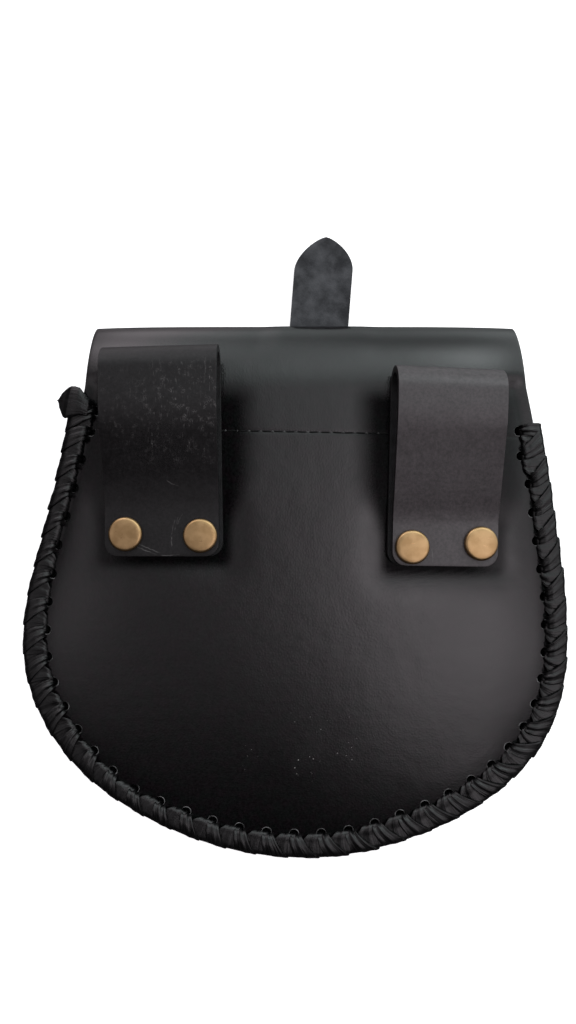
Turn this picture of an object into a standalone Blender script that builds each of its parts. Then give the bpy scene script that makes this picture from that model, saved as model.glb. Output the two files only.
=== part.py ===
"""Black leather belt pouch, lying on its closed flap with its back and its two belt loops up.

Every length is in metres. The pouch is drawn flat on X and Y, with Y = 0 at the bottom edge of its
panels and Z = 0 on the table, and is moved at the end so that its box stands centred on the origin.
"""

import math

import bmesh
import bpy
import numpy as np
from mathutils import Vector

# Clearances
GAP = 0.0003  # between pieces that touch
SHANK_CLEARANCE = 0.0003  # round a rivet's shank

# Leathers
PANEL_LEATHER = 0.0024
FLAP_LEATHER = 0.0024
LOOP_LEATHER = 0.0024
STRAP_LEATHER = 0.0022
LACE_LEATHER = 0.0016

# Outline that both panels share, from its bottom middle up to the mouth
PANEL_HALF_WIDTH = 0.092
BOTTOM_RADIUS = 0.113
CORNER_RADIUS = 0.063
SIDE_RADIUS = 0.130
SIDE_LEAN = math.radians(11.5)
SEAM_HEIGHT = 0.1451  # where the flap is sewn edge to edge to the back
MOUTH_HEIGHT = 0.1613  # top edge of the front panel
SWAY = 0.0039  # how far the middle of the pouch leans to the left

# Heights over the table
EDGE_HEIGHT = 0.024  # where the edges of the two panels meet
FLANGE = 0.0085  # flat margin that the lacing grips
BACK_DOME = 0.006
BACK_FULLNESS = 5.0  # a higher power gives a flatter middle and a tighter shoulder
FRONT_FULLNESS = 5.0

# Flap, from the seam over the fold and down the front
FOLD_TOP = 0.1841
FOLD_DEPTH = 0.014
FOLD_HALF_WIDTH = 0.0744
FLAP_FRONT_LENGTH = 0.120
FLAP_SIDE_LENGTH = 0.062
FLAP_END_HALF_WIDTH = 0.066
FLAP_ROUNDNESS = 2.4
FLAP_EASING = 0.010  # how fast the flap comes down to the table beside the strap

# Edge lacing
LACE_LEFT_END = 0.1610
LACE_RIGHT_END = 0.1484
LACE_REACH = 0.0072  # from the panels' edge in to the holes
HOLE_PITCH = 0.0098
LACE_RIB = 0.0009
LACE_SLANT = 0.8  # pitches that a rib moves along the edge as it goes round it

# Belt loops
LOOP_STANDOFF = 0.0145
LOOP_FOLD_REACH = 0.0062
LOOP_FLAT = 0.016  # part of the front layer that lies flat under the fold
LOOP_CLAMP = 0.013  # part at the foot that the rivets hold shut
LOOP_CORNER = 0.0045
LOOPS = (
    # name, middle, half width, foot height, top height, tilt in degrees, shift of the back layer
    ("left", -0.0478, 0.0192, 0.1030, 0.1730, 1.2, 0.0),
    ("right", 0.0468, 0.0178, 0.0997, 0.1658, -1.4, -0.0011),
)

# Capped rivets
CAP_RADIUS = 0.00575
CAP_HEIGHT = 0.0017
SHANK_RADIUS = 0.0018
BURR_RADIUS = 0.0045
BURR_HEIGHT = 0.0012
BURR_CLEARANCE = 0.0005  # the leather's inner side is a little rounder than its outer side
RIVETS = (
    # name, across, up
    ("left_outer", -0.0601, 0.1104),
    ("left_inner", -0.0354, 0.1100),
    ("right_inner", 0.0354, 0.1062),
    ("right_outer", 0.0581, 0.1073),
)

# Closing strap and what holds it
STRAP_HALF_WIDTH = 0.0110
STRAP_TIP_HEIGHT = 0.2212
STRAP_TIP_X = 0.0082
STRAP_TIP_LENGTH = 0.0125
STRAP_TIP_SHOULDER = 1.72  # powers of the tip's rounded point
STRAP_TIP_POINT = 0.556
STRAP_LEAN = math.radians(4.5)
STRAP_FOOT_HEIGHT = 0.026
STRAP_SEAT = 0.013  # length of the foot that is sewn to the front panel
CLASP_RADIUS = 0.007
CLASP_HEIGHT = 0.002
CLASP_SETBACK = 0.022  # from the flap's lower edge up to the clasp's middle

# How finely the sheets are divided
PANEL_SPANS = 40
PANEL_RINGS = 7
RING_CROWDING = 0.85  # under 1 sets the rings closer together towards the flange
TOP_EDGE_FADE = 8  # a higher power keeps the flange square to the top edge nearer to its ends
FLAP_COLUMNS = 24
FLAP_COLUMN_TURN = math.radians(62)
EASE_BESIDE_STRAP = 1.4  # columns off the strap's side before the flap comes down, for its flat faces
EASE_ROUND_CLASP = 1.6  # the same round the clasp
FLAP_ROWS = (5, 8, 8)  # back, fold, front
LOOP_ROWS = (4, 7, 10)  # back layer, fold, front layer
STRAP_ROWS = 24
RIB_SECTIONS = 3
TURNED_STEPS = 14

BOTTOM_TURN = math.asin((PANEL_HALF_WIDTH - CORNER_RADIUS) / (BOTTOM_RADIUS - CORNER_RADIUS))
EDGE_ARCS = (
    (BOTTOM_RADIUS, 0.0, BOTTOM_TURN),
    (CORNER_RADIUS, BOTTOM_TURN, math.pi / 2),
    (SIDE_RADIUS, math.pi / 2, math.pi / 2 + SIDE_LEAN),
)
FRONT_LOW = STRAP_LEATHER + CLASP_HEIGHT + FLAP_LEATHER + 3 * GAP
FRONT_DEPTH = EDGE_HEIGHT - GAP / 2 - PANEL_LEATHER - FRONT_LOW
FOLD_START = FOLD_TOP - FOLD_DEPTH
FLAP_END = FOLD_TOP - FLAP_FRONT_LENGTH
CLASP_Y = FLAP_END + CLASP_SETBACK


def smooth(share):
    """Eases from 0 to 1 as share goes from 0 to 1."""
    share = min(max(share, 0.0), 1.0)
    return share * share * (3 - 2 * share)


def blend(first, second, share):
    return first + (second - first) * share


# The outline


def edge_at(length):
    """Point on the panels' edge, length metres from its bottom middle, and the way out from it there."""
    side = math.copysign(1.0, length)
    left = abs(length)
    x = y = heading = 0.0
    for radius, start, end in EDGE_ARCS:
        step = min(left, radius * (end - start))
        heading = start + step / radius
        x += radius * (math.sin(heading) - math.sin(start))
        y += radius * (math.cos(start) - math.cos(heading))
        left -= step
        if left <= 0:
            break
    x += left * math.cos(heading)
    y += left * math.sin(heading)
    return Vector((side * x, y)), Vector((side * math.sin(heading), -math.cos(heading)))


def length_at(height):
    """Length along the edge at which it is this high."""
    low, high = 0.0, 2 * (height + PANEL_HALF_WIDTH)
    for _ in range(48):
        middle = (low + high) / 2
        if edge_at(middle)[0].y < height:
            low = middle
        else:
            high = middle
    return high


def sway(y):
    """How far the pouch leans off its middle line at this height."""
    share = min(max(y / SEAM_HEIGHT, 0.0), 1.0)
    return -SWAY * math.sin(math.pi * share) ** 2


def flange_table():
    """Angles and distances of the flange's inner line, as seen from the middle of the mouth."""
    reach = length_at(MOUTH_HEIGHT)
    rows = []
    for length in np.linspace(reach, -reach, 161):
        edge, outward = edge_at(length)
        inner = edge - FLANGE * outward
        below = MOUTH_HEIGHT - inner.y
        rows.append((math.atan2(below, inner.x), math.hypot(inner.x, below)))
    return np.array(rows).T


FLANGE_ANGLES, FLANGE_REACHES = flange_table()
MOUTH_HALF_WIDTH = edge_at(length_at(MOUTH_HEIGHT))[0].x


# Heights of the sheets' outer faces over the table


def bulge(x, y, power):
    """0 on the flange, rising to 1 in the middle of the mouth. Above the mouth the flange fades away."""
    below = max(MOUTH_HEIGHT - y, 0.0)
    reach = float(np.interp(math.atan2(below, x), FLANGE_ANGLES, FLANGE_REACHES))
    reach = blend(reach, MOUTH_HALF_WIDTH, smooth((y - MOUTH_HEIGHT) / FLANGE))
    return 1 - min(math.hypot(x, below) / reach, 1.0) ** power


def back_height(x, y):
    return EDGE_HEIGHT + GAP / 2 + PANEL_LEATHER + BACK_DOME * bulge(x - sway(y), y, BACK_FULLNESS)


def front_height(x, y):
    return EDGE_HEIGHT - GAP / 2 - PANEL_LEATHER - FRONT_DEPTH * bulge(x - sway(y), y, FRONT_FULLNESS)


def strap_middle(y):
    return STRAP_TIP_X - (STRAP_TIP_HEIGHT - y) * math.tan(STRAP_LEAN)


def flap_front_height(x, y):
    """The flap lies on the table, but goes over the strap and over the clasp."""
    column = 2 * MOUTH_HALF_WIDTH / FLAP_COLUMNS
    beside = abs(x - strap_middle(y)) - STRAP_HALF_WIDTH - EASE_BESIDE_STRAP * column
    over_strap = 1 - smooth(beside / FLAP_EASING)
    away = math.hypot(x - strap_middle(CLASP_Y), y - CLASP_Y) - CLASP_RADIUS - EASE_ROUND_CLASP * column
    over_clasp = 1 - smooth(away / FLAP_EASING)
    return (STRAP_LEATHER + GAP) * over_strap + (CLASP_HEIGHT + GAP) * over_clasp


# Objects


def leather(name, colour, roughness):
    return finish(name, colour, 0.0, roughness)


def finish(name, colour, metallic, roughness):
    material = bpy.data.materials.new(name)
    material.use_nodes = True
    shader = material.node_tree.nodes["Principled BSDF"]
    shader.inputs["Base Color"].default_value = (*colour, 1.0)
    shader.inputs["Metallic"].default_value = metallic
    shader.inputs["Roughness"].default_value = roughness
    return material


def add_object(name, mesh, collection, material=None):
    obj = bpy.data.objects.new(name, mesh)
    collection.objects.link(obj)
    if material:
        mesh.materials.append(material)
    mesh.shade_smooth()
    mesh.set_sharp_from_angle(angle=math.radians(40))
    return obj


def sheet(name, columns, rows, place, collection, material):
    """Open surface: a grid whose every point goes where place(across, along) says, each from 0 to 1."""
    shape = bmesh.new()
    bmesh.ops.create_grid(shape, x_segments=columns, y_segments=rows, size=1.0)
    for vertex in shape.verts:
        vertex.co = place((vertex.co.x + 1) / 2, (vertex.co.y + 1) / 2)
    bmesh.ops.remove_doubles(shape, verts=shape.verts, dist=1e-6)
    mesh = bpy.data.meshes.new(name)
    shape.to_mesh(mesh)
    shape.free()
    return add_object(name, mesh, collection, material)


def thicken(obj, thickness, offset):
    """Gives a sheet its leather: offset -1 puts it all behind the drawn face, 0 puts half on each side."""
    solidify = obj.modifiers.new("leather", "SOLIDIFY")
    solidify.thickness = thickness
    solidify.offset = offset
    solidify.use_quality_normals = True


def turn_over(obj):
    """Makes a sheet that was drawn facing up face down."""
    obj.data.flip_normals()


def cut(obj, cutter):
    hole = obj.modifiers.new(cutter.name, "BOOLEAN")
    hole.operation = "DIFFERENCE"
    hole.solver = "EXACT"
    hole.object = cutter


def panel(name, top, height, collection, material):
    """U-shaped sheet. Its rays run from the middle of its top edge to the laced edge, flat at the last."""
    reach = length_at(top)
    middle = Vector((0.0, top))
    flange_from = PANEL_RINGS / (PANEL_RINGS + 1)

    def place(across, along):
        side = 2 * across - 1
        edge, outward = edge_at(side * reach)
        inner = edge - FLANGE * outward
        inner.y = blend(inner.y, edge.y, abs(side) ** TOP_EDGE_FADE)
        if along < flange_from:
            point = middle.lerp(inner, (along / flange_from) ** RING_CROWDING)
        else:
            point = inner.lerp(edge, (along - flange_from) / (1 - flange_from))
        x = point.x + sway(point.y)
        return x, point.y, height(x, point.y)

    return sheet(name, PANEL_SPANS, PANEL_RINGS + 1, place, collection, material)


def back_panel(collection, material):
    obj = panel("back_panel", SEAM_HEIGHT - GAP / 2, back_height, collection, material)
    turn_over(obj)
    thicken(obj, PANEL_LEATHER, -1)
    return obj


def front_panel(collection, material):
    obj = panel("front_panel", MOUTH_HEIGHT, front_height, collection, material)
    thicken(obj, PANEL_LEATHER, -1)
    return obj


def flap_half_width(y, on_front):
    if on_front:
        return blend(FOLD_HALF_WIDTH, FLAP_END_HALF_WIDTH, (FOLD_TOP - y) / FLAP_FRONT_LENGTH)
    if y < MOUTH_HEIGHT:
        return edge_at(length_at(y))[0].x
    return blend(MOUTH_HALF_WIDTH, FOLD_HALF_WIDTH, (y - MOUTH_HEIGHT) / (FOLD_TOP - MOUTH_HEIGHT))


def flap(collection, material):
    """From the seam up the back, over the fold and down the front to a rounded lower edge."""
    back_rows, fold_rows, front_rows = FLAP_ROWS
    all_rows = sum(FLAP_ROWS)

    def place(across, along):
        share = math.sin((2 * across - 1) * FLAP_COLUMN_TURN) / math.sin(FLAP_COLUMN_TURN)
        row = along * all_rows
        if row <= back_rows:
            y = blend(SEAM_HEIGHT + GAP / 2, FOLD_START, row / back_rows)
            x = share * flap_half_width(y, False)
            return x, y, back_height(x, y)
        if row < back_rows + fold_rows:
            turn = math.pi * (row - back_rows) / fold_rows
            y = FOLD_START + FOLD_DEPTH * math.sin(turn)
            x = share * flap_half_width(y, turn > math.pi / 2)
            high, low = back_height(x, y), flap_front_height(x, y)
            return x, y, (high + low) / 2 + (high - low) / 2 * math.cos(turn)
        round_part = (1 - min(abs(share), 1.0) ** FLAP_ROUNDNESS) ** (1 / FLAP_ROUNDNESS)
        end = FOLD_TOP - blend(FLAP_SIDE_LENGTH, FLAP_FRONT_LENGTH, round_part)
        y = blend(FOLD_START, end, (row - back_rows - fold_rows) / front_rows)
        x = share * flap_half_width(y, True)
        return x, y, flap_front_height(x, y)

    obj = sheet("flap", FLAP_COLUMNS, all_rows, place, collection, material)
    thicken(obj, FLAP_LEATHER, -1)
    return obj


def lace_section():
    """Points round the C that the lace makes: out from the edge, up, and how much a rib lifts it."""
    slot = PANEL_LEATHER + GAP / 2 + GAP
    out = GAP
    outer = (
        # shares: of the reach inwards, of the lace outwards, of the slot up, of the lace up, of the rib
        (-1.00, 0.0, 1.00, 0.35, 0.2),
        (-0.86, 0.0, 1.00, 1.00, 0.8),
        (-0.40, 0.0, 1.00, 1.25, 1.0),
        (0.00, 0.2, 1.00, 0.90, 1.0),
        (0.00, 1.1, 0.70, 0.30, 1.0),
        (0.00, 1.5, 0.00, 0.00, 1.0),
    )
    points = []
    for inward, lace_out, slot_up, lace_up, rib in outer:
        q = out + inward * LACE_REACH + lace_out * LACE_LEATHER
        points.append((q, slot_up * slot + lace_up * LACE_LEATHER, rib))
    mirrored = [(q, -up, rib) for q, up, rib in reversed(points[:-1])]
    corners = ((out - LACE_REACH, -slot), (out, -slot), (out, slot), (out - LACE_REACH, slot))
    return points + mirrored + [(q, up, 0.0) for q, up in corners]


def edge_lacing(collection, material):
    """Flat lace wound round both edges: one C-shaped band with a slanting rib for every hole."""
    start = -length_at(LACE_LEFT_END)
    end = length_at(LACE_RIGHT_END)
    wraps = round((end - start) / HOLE_PITCH)
    section = lace_section()
    shape = bmesh.new()
    rings = []
    for number in range(wraps * RIB_SECTIONS + 1):
        turns = number / RIB_SECTIONS
        edge, outward = edge_at(blend(start, end, turns / wraps))
        ring = []
        for place, (q, up, rib) in enumerate(section):
            phase = 2 * math.pi * (turns + LACE_SLANT * place / len(section))
            lift = LACE_RIB * rib * (0.5 + 0.5 * math.cos(phase))
            size = math.hypot(q + LACE_REACH / 2, up)
            q += lift * (q + LACE_REACH / 2) / size
            up += lift * up / size
            point = edge + q * outward
            ring.append(shape.verts.new((point.x + sway(point.y), point.y, EDGE_HEIGHT + up)))
        rings.append(ring)
    for first, second in zip(rings, rings[1:]):
        for place in range(len(section)):
            after = (place + 1) % len(section)
            shape.faces.new((first[place], first[after], second[after], second[place]))
    shape.faces.new(rings[0])
    shape.faces.new(rings[-1])
    bmesh.ops.recalc_face_normals(shape, faces=shape.faces)
    mesh = bpy.data.meshes.new("edge_lacing")
    shape.to_mesh(mesh)
    shape.free()
    return add_object("edge_lacing", mesh, collection, material)


def loop_columns(half_width):
    """Shares of a loop's half width, closer together round its lower corners."""
    corner = LOOP_CORNER / half_width
    half = [1 - corner * (1 - math.cos(math.radians(turn))) for turn in (0, 35, 62, 90)]
    return [-share for share in half] + [-0.38, 0.0, 0.38] + half[::-1]


def belt_loop(name, middle, half_width, foot, top, tilt, shift, collection, material):
    """Strap folded over at the top, its two ends riveted together at the foot on the pouch's back."""
    back_rows, fold_rows, front_rows = LOOP_ROWS
    all_rows = sum(LOOP_ROWS)
    columns = loop_columns(half_width)
    back_level = GAP + LOOP_LEATHER / 2
    clamp_level = back_level + LOOP_LEATHER + GAP
    front_level = GAP + LOOP_STANDOFF - LOOP_LEATHER / 2
    fold_from = top - LOOP_LEATHER / 2 - LOOP_FOLD_REACH
    centre = Vector((middle, (foot + top) / 2))
    level = back_height(middle, centre.y)
    lean = math.radians(tilt)

    def place(across, along):
        share = columns[round(across * (len(columns) - 1))]
        beyond = max(abs(share) * half_width - (half_width - LOOP_CORNER), 0.0)
        end = foot + LOOP_CORNER - math.sqrt(max(LOOP_CORNER**2 - beyond**2, 0.0))
        row = along * all_rows
        if row <= back_rows:
            y = blend(end, fold_from, row / back_rows)
            up, raised, aside = back_level, 0.0, shift * row / back_rows
        elif row < back_rows + fold_rows:
            turn = math.pi * (row - back_rows) / fold_rows
            y = fold_from + LOOP_FOLD_REACH * math.sin(turn)
            up = blend(back_level, front_level, (1 - math.cos(turn)) / 2)
            raised = (1 - math.cos(turn)) / 2
            aside = shift * (1 - raised)
        else:
            y = blend(fold_from, end, (row - back_rows - fold_rows) / front_rows)
            raised = smooth((y - foot - LOOP_CLAMP) / (fold_from - LOOP_FLAT - foot - LOOP_CLAMP))
            up, aside = blend(clamp_level, front_level, raised), 0.0
        offset = Vector((share * half_width + aside, y - centre.y))
        turned = Vector((
            offset.x * math.cos(lean) - offset.y * math.sin(lean),
            offset.x * math.sin(lean) + offset.y * math.cos(lean),
        ))
        point = centre + turned
        seat = back_height(point.x, min(point.y, FOLD_START))
        return point.x, point.y, blend(seat, level, raised) + up

    obj = sheet(name, len(columns) - 1, all_rows, place, collection, material)
    thicken(obj, LOOP_LEATHER, 0)
    return obj


def back_normal(x, y):
    step = 0.002
    rise_x = (back_height(x + step, y) - back_height(x - step, y)) / (2 * step)
    rise_y = (back_height(x, y + step) - back_height(x, y - step)) / (2 * step)
    return Vector((-rise_x, -rise_y, 1.0)).normalized()


def rivet(name, x, y, collection, material):
    """Cap outside, shank through the loop and the back, burr inside the pouch."""
    under_cap = 2 * LOOP_LEATHER + 3 * GAP
    top = under_cap + CAP_HEIGHT
    burr_top = -PANEL_LEATHER - BURR_CLEARANCE
    profile = (
        (0.0, top),
        (0.70 * CAP_RADIUS, top - 0.05 * CAP_HEIGHT),
        (0.91 * CAP_RADIUS, top - 0.25 * CAP_HEIGHT),
        (CAP_RADIUS, top - 0.60 * CAP_HEIGHT),
        (CAP_RADIUS, under_cap),
        (SHANK_RADIUS, under_cap),
        (SHANK_RADIUS, burr_top),
        (BURR_RADIUS, burr_top),
        (BURR_RADIUS, burr_top - BURR_HEIGHT),
        (0.0, burr_top - BURR_HEIGHT),
    )
    mesh = bpy.data.meshes.new(name)
    edges = [(number, number + 1) for number in range(len(profile) - 1)]
    mesh.from_pydata([(radius, 0.0, height) for radius, height in profile], edges, [])
    obj = add_object(name, mesh, collection, material)
    screw = obj.modifiers.new("turned", "SCREW")
    screw.steps = TURNED_STEPS
    screw.render_steps = TURNED_STEPS
    screw.use_merge_vertices = True
    screw.merge_threshold = 0.00001
    stand(obj, x, y)
    return obj


def stand(obj, x, y):
    """Stands a piece on the back at this place, square to the leather."""
    obj.location = (x, y, back_height(x, y))
    obj.rotation_euler = back_normal(x, y).to_track_quat("Z", "Y").to_euler()


def rivet_hole(name, x, y, collection):
    length = 4 * (PANEL_LEATHER + 2 * LOOP_LEATHER)
    radius = SHANK_RADIUS + SHANK_CLEARANCE
    bpy.ops.mesh.primitive_cylinder_add(vertices=12, radius=radius, depth=length)
    cutter = bpy.context.object
    cutter.name = name
    for owner in list(cutter.users_collection):
        owner.objects.unlink(cutter)
    collection.objects.link(cutter)
    cutter.hide_render = True
    cutter.display_type = "WIRE"
    stand(cutter, x, y)
    return cutter


def closing_strap(collection, material):
    """Flat on the table from its tip to the flap's lower edge, then up to its foot on the front."""
    lift_from = FLAP_END - GAP
    seated_at = STRAP_FOOT_HEIGHT + STRAP_SEAT

    def place(across, along):
        share = math.sin((across - 0.5) * math.pi)
        round_part = (1 - min(abs(share), 1.0) ** STRAP_TIP_SHOULDER) ** STRAP_TIP_POINT
        tip = STRAP_TIP_HEIGHT - STRAP_TIP_LENGTH * (1 - round_part)
        y = blend(STRAP_FOOT_HEIGHT, tip, along)
        x = strap_middle(y) + share * STRAP_HALF_WIDTH
        seated = smooth((lift_from - y) / (lift_from - seated_at))
        return x, y, blend(STRAP_LEATHER, front_height(x, y) - GAP, seated)

    obj = sheet("closing_strap", 8, STRAP_ROWS, place, collection, material)
    thicken(obj, STRAP_LEATHER, -1)
    return obj


def hidden_clasp(collection, material):
    """Plain press clasp between the strap and the flap."""
    shape = bmesh.new()
    bmesh.ops.create_cone(
        shape, cap_ends=True, segments=24, radius1=CLASP_RADIUS, radius2=CLASP_RADIUS, depth=CLASP_HEIGHT
    )
    mesh = bpy.data.meshes.new("hidden_clasp")
    shape.to_mesh(mesh)
    shape.free()
    obj = add_object("hidden_clasp", mesh, collection, material)
    obj.location = (strap_middle(CLASP_Y), CLASP_Y, STRAP_LEATHER + GAP + CLASP_HEIGHT / 2)
    return obj


def clear_scene():
    for obj in list(bpy.data.objects):
        bpy.data.objects.remove(obj, do_unlink=True)


def new_collection(name):
    collection = bpy.data.collections.new(name)
    bpy.context.scene.collection.children.link(collection)
    return collection


def centre_on_origin(collection, cutters):
    """Moves everything by one parent empty, so that the pieces' box stands centred on the origin."""
    pieces = list(collection.objects)
    holder = bpy.data.objects.new("pouch_place", None)
    collection.objects.link(holder)
    for obj in pieces + list(cutters.objects):
        obj.parent = holder
    bpy.context.view_layer.update()
    graph = bpy.context.evaluated_depsgraph_get()
    corners = []
    for obj in pieces:
        evaluated = obj.evaluated_get(graph)
        mesh = evaluated.to_mesh()
        corners += [evaluated.matrix_world @ vertex.co for vertex in mesh.vertices]
        evaluated.to_mesh_clear()
    corners = np.array(corners)
    low, high = corners.min(axis=0), corners.max(axis=0)
    holder.location = (-(low[0] + high[0]) / 2, -(low[1] + high[1]) / 2, -low[2])


def main():
    clear_scene()
    pouch = new_collection("belt_pouch")
    cutters = new_collection("cutters")
    smooth_leather = leather("smooth_black_leather", (0.012, 0.0115, 0.012), 0.42)
    loop_leather = leather("loop_leather", (0.013, 0.012, 0.013), 0.38)
    lace_leather = leather("lace_leather", (0.010, 0.010, 0.010), 0.35)
    strap_leather = leather("strap_flesh_side", (0.045, 0.052, 0.055), 0.85)
    brass = finish("antique_brass", (0.42, 0.31, 0.17), 1.0, 0.38)

    back = back_panel(pouch, smooth_leather)
    front_panel(pouch, smooth_leather)
    flap(pouch, smooth_leather)
    edge_lacing(pouch, lace_leather)
    loops = {}
    for name, *sizes in LOOPS:
        loops[name] = belt_loop(f"belt_loop_{name}", *sizes, pouch, loop_leather)
    for name, x, y in RIVETS:
        rivet(f"rivet_{name}", x, y, pouch, brass)
        hole = rivet_hole(f"rivet_hole_{name}", x, y, cutters)
        cut(back, hole)
        cut(loops[name.split("_")[0]], hole)
    closing_strap(pouch, strap_leather)
    hidden_clasp(pouch, brass)
    centre_on_origin(pouch, cutters)


main()
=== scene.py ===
"""Black leather belt pouch with a laced edge, lying on its closed flap with its back up.

The pouch is drawn as its maker lays it out: metres, Y = 0 at the bottom edge of the panels, Z = 0 on
the table. on_table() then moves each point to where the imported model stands.
"""

import math
import random

import bpy
import numpy as np
from mathutils import Matrix, Vector


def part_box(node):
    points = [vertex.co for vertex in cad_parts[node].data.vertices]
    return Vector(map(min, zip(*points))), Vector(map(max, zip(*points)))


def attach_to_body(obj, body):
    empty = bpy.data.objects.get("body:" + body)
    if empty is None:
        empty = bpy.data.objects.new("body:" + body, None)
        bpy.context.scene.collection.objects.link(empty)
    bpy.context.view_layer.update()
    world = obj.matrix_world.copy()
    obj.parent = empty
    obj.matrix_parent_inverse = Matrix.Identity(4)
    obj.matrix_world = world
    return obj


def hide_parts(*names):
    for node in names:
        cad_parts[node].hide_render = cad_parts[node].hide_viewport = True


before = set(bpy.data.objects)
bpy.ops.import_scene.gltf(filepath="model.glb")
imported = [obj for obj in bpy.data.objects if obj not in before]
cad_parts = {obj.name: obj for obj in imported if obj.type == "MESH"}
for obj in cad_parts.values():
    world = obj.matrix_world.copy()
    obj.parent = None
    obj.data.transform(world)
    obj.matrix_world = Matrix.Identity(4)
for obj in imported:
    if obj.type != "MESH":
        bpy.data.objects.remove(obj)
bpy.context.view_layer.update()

# The back: one U-shaped sheet of smooth black leather, domed a little by what the pouch holds. The
# lace grips its flat margin, through a row of punched holes, together with that of the front.
PANEL_LEATHER = 0.0024
PANEL_HALF_WIDTH = 0.092
BOTTOM_RADIUS = 0.113
CORNER_RADIUS = 0.063
SIDE_RADIUS = 0.130
SIDE_LEAN = math.radians(11.5)
SEAM_HEIGHT = 0.1451
SEAM_TILT = -0.018
MOUTH_HEIGHT = 0.1613
SWAY = 0.0039
EDGE_HEIGHT = 0.024
EDGE_GAP = 0.0003
MARGIN = 0.0040
BACK_DOME = 0.006
FULLNESS = 5.0
PANEL_CORNER = 0.115  # length along the edge at which the grid's lower corners lie
PANEL_GRID = (120, 96)
ROW_CROWDING = 1.6  # draws the grid's rows together towards the seam
TILT_FADE = 6  # how fast the rows below the seam lose its tilt
MARGIN_STEPS = 320
HALVINGS = 40
ROUND_STEPS = 24
GROOVE_DEPTH = 0.00006
GROOVE_WIDTH = 0.0006
CUT_EDGE_ROUNDING = 0.00045
LOOP_CLAMP = 0.013
FOOT_DENT = 0.0008
FOOT_DENT_REACH = 0.007
# Painted shade: the smooth leather's reflection is nearly taken away in the shadow beside each belt loop,
# and partly along the laced margin.
PAINTED_SHADE_REACH = (0.0060, 0.0155)  # how far a loop's painted shade reaches, at its foot and above
PAINTED_SHADE_WIDENS = (0.008, 0.030)  # heights over the foot between which that reach grows
PAINTED_SHADE_CORE = 0.30  # share of the reach that is shaded in full
PAINTED_SHADE_SIDES = (0.4, 1.4)  # half widths from a loop's middle between which its outer side sets in
PAINTED_SHADE_OUTSIDE = 0.55  # how much is left on that side
PAINTED_SHADE_TOP = (0.155, 0.164)  # heights between which it fades towards the fold
# painted shade along the laced margin: how much, and the share of the dome over which it fades
EDGE_PAINTED_SHADE = 0.5
EDGE_PAINTED_SHADE_BULGE = 0.30
LOOPS = (
    # name, middle, half width, foot height, top height, lean of its sides and of its fold in degrees,
    # shift of the back layer at its foot and at the fold
    ("left", -0.0485, 0.0192, 0.1030, 0.1730, 0.0, 1.3, 0.0012, 0.0004),
    ("right", 0.0471, 0.0178, 0.0997, 0.1658, -0.9, -1.4, -0.0014, -0.0011),
)

BOTTOM_TURN = math.asin((PANEL_HALF_WIDTH - CORNER_RADIUS) / (BOTTOM_RADIUS - CORNER_RADIUS))
EDGE_ARCS = (
    (BOTTOM_RADIUS, 0.0, BOTTOM_TURN),
    (CORNER_RADIUS, BOTTOM_TURN, math.pi / 2),
    (SIDE_RADIUS, math.pi / 2, math.pi / 2 + SIDE_LEAN),
)
BACK_LEVEL = EDGE_HEIGHT + EDGE_GAP / 2 + PANEL_LEATHER
flap_low, flap_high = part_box("flap")
TABLE_PLACE = Vector(((flap_low.x + flap_high.x) / 2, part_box("back_panel")[0].y, 0.0))


def on_table(x, y, z):
    return TABLE_PLACE + Vector((x, y, z))


def smooth(share):
    """Eases from 0 to 1 as share goes from 0 to 1."""
    share = min(max(share, 0.0), 1.0)
    return share * share * (3 - 2 * share)


def eased(value, low, high):
    """Eases from 0 to 1 as value goes from low to high."""
    return smooth((value - low) / (high - low))


def between(first, second, share):
    return first + (second - first) * share


def edge_at(length):
    """Point on the panels' edge, this far along it from its bottom middle, and the way out from it."""
    side = math.copysign(1.0, length)
    left = abs(length)
    x = y = heading = 0.0
    for radius, start, end in EDGE_ARCS:
        step = min(left, radius * (end - start))
        heading = start + step / radius
        x += radius * (math.sin(heading) - math.sin(start))
        y += radius * (math.cos(start) - math.cos(heading))
        left -= step
        if left <= 0:
            break
    x += left * math.cos(heading)
    y += left * math.sin(heading)
    return Vector((side * x, y)), Vector((side * math.sin(heading), -math.cos(heading)))


def length_at(height):
    """Length along the edge at which it is this high."""
    low, high = 0.0, 2 * (height + PANEL_HALF_WIDTH)
    for _ in range(HALVINGS):
        middle = (low + high) / 2
        if edge_at(middle)[0].y < height:
            low = middle
        else:
            high = middle
    return high


def sway(y):
    """The pouch leans a little to the left at its middle."""
    return -SWAY * math.sin(math.pi * min(max(y / SEAM_HEIGHT, 0.0), 1.0)) ** 2


margin_line = []
for length in np.linspace(length_at(MOUTH_HEIGHT), -length_at(MOUTH_HEIGHT), MARGIN_STEPS + 1):
    edge, outward = edge_at(length)
    inner = edge - MARGIN * outward
    below = MOUTH_HEIGHT - inner.y
    margin_line.append((math.atan2(below, inner.x), math.hypot(inner.x, below)))
MARGIN_ANGLES, MARGIN_REACHES = np.array(margin_line).T
MOUTH_HALF_WIDTH = edge_at(length_at(MOUTH_HEIGHT))[0].x


def bulge(x, y):
    """0 on the flat margin, rising to 1 in the middle of the mouth. Above the mouth the margin fades."""
    below = max(MOUTH_HEIGHT - y, 0.0)
    reach = float(np.interp(math.atan2(below, x), MARGIN_ANGLES, MARGIN_REACHES))
    reach = between(reach, MOUTH_HALF_WIDTH, smooth((y - MOUTH_HEIGHT) / MARGIN))
    return 1 - min(math.hypot(x, below) / reach, 1.0) ** FULLNESS


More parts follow.
